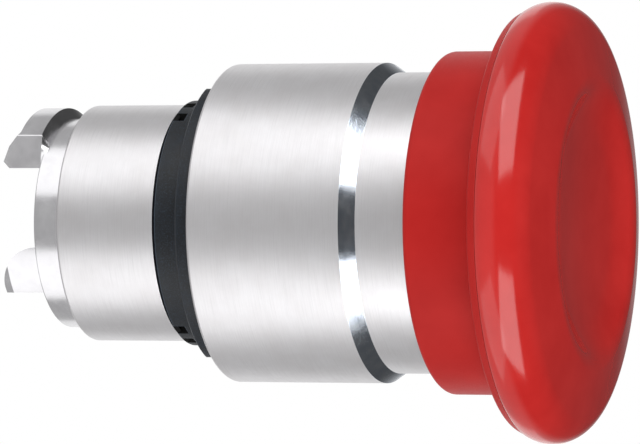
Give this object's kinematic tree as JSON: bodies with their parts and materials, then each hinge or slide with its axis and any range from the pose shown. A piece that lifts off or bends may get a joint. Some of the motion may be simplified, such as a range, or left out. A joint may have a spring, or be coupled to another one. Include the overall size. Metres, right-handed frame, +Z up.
{
  "type": "emergency stop button head",
  "caption": "Push-pull mushroom emergency stop head for a panel hole: red dished mushroom button, satin chrome body and shank with bayonet tangs, rubber gasket.",
  "frame": {"origin": "on the button's axis, in the plane of the panel's front face, where the gasket's flange rests", "axes": "+X along the button's axis out of the panel towards the operator, +Z up through the main bayonet tang, +Y to the right seen from the front"},
  "size_m": [0.0541, 0.0396, 0.0396],
  "materials": {
    "satin_chrome": "satin chrome plate, polished on the chamfer and the rear collar",
    "red_plastic": "glossy moulded thermoplastic",
    "black_rubber": "matte nitrile rubber",
    "black_acetal": "turned acetal",
    "grey_nylon": "moulded glass-filled nylon",
    "cast_zinc": "as-cast zinc alloy",
    "bright_steel": "ground bright steel",
    "hardened_steel": "hardened and tempered steel",
    "spring_steel": "oiled spring steel",
    "zinc_plated_steel": "bright zinc plate",
    "brass": "turned brass"
  },
  "bodies": {
    "head_base": {"housing": "satin_chrome", "panel_gasket": "black_rubber", "rear_guide": "black_acetal", "rear_circlip": "spring_steel", "trip_cage": "cast_zinc", "strut_pins": "bright_steel", "garter_spring": "spring_steel", "front_guide": "black_acetal", "guide_oring": "black_rubber", "guide_circlip": "spring_steel", "stem_seal": "black_rubber", "spring_washer": "zinc_plated_steel", "return_spring": "spring_steel"},
    "button": {"stem": "bright_steel", "trip_collar": "hardened_steel", "collar_pin": "spring_steel", "lock_washer": "zinc_plated_steel", "cap_insert": "brass", "cap_core": "grey_nylon", "cap_skirt": "red_plastic", "mushroom_head": "red_plastic", "actuator_disc": "grey_nylon", "disc_washer": "zinc_plated_steel", "disc_screw": "zinc_plated_steel"},
    "strut_top": {"strut_top": "hardened_steel"},
    "strut_near": {"strut_near": "hardened_steel"},
    "strut_bottom": {"strut_bottom": "hardened_steel"},
    "strut_far": {"strut_far": "hardened_steel"}
  },
  "joints": [
    {"name": "button_slide", "type": "slide", "parent": "head_base", "child": "button", "axis": [1, 0, 0], "range_m": [-0.0043, 0], "deforming": ["return_spring"]},
    {"name": "strut_top_pivot", "type": "hinge", "parent": "head_base", "child": "strut_top", "pos_m": [0.009, 0, 0.0096], "axis": [0, 1, 0], "range_deg": [0, 55.8]},
    {"name": "strut_near_pivot", "type": "hinge", "parent": "head_base", "child": "strut_near", "pos_m": [0.009, -0.0096, 0], "axis": [0, 0, 1], "range_deg": [0, 55.8]},
    {"name": "strut_bottom_pivot", "type": "hinge", "parent": "head_base", "child": "strut_bottom", "pos_m": [0.009, 0, -0.0096], "axis": [0, -1, 0], "range_deg": [0, 55.8]},
    {"name": "strut_far_pivot", "type": "hinge", "parent": "head_base", "child": "strut_far", "pos_m": [0.009, 0.0096, 0], "axis": [0, 0, -1], "range_deg": [0, 55.8]}
  ],
  "couplings": [
    {"joint": "strut_top_pivot", "follows": "button_slide", "rad_per_m": -226.2},
    {"joint": "strut_near_pivot", "follows": "button_slide", "rad_per_m": -226.2},
    {"joint": "strut_bottom_pivot", "follows": "button_slide", "rad_per_m": -226.2},
    {"joint": "strut_far_pivot", "follows": "button_slide", "rad_per_m": -226.2}
  ]
}
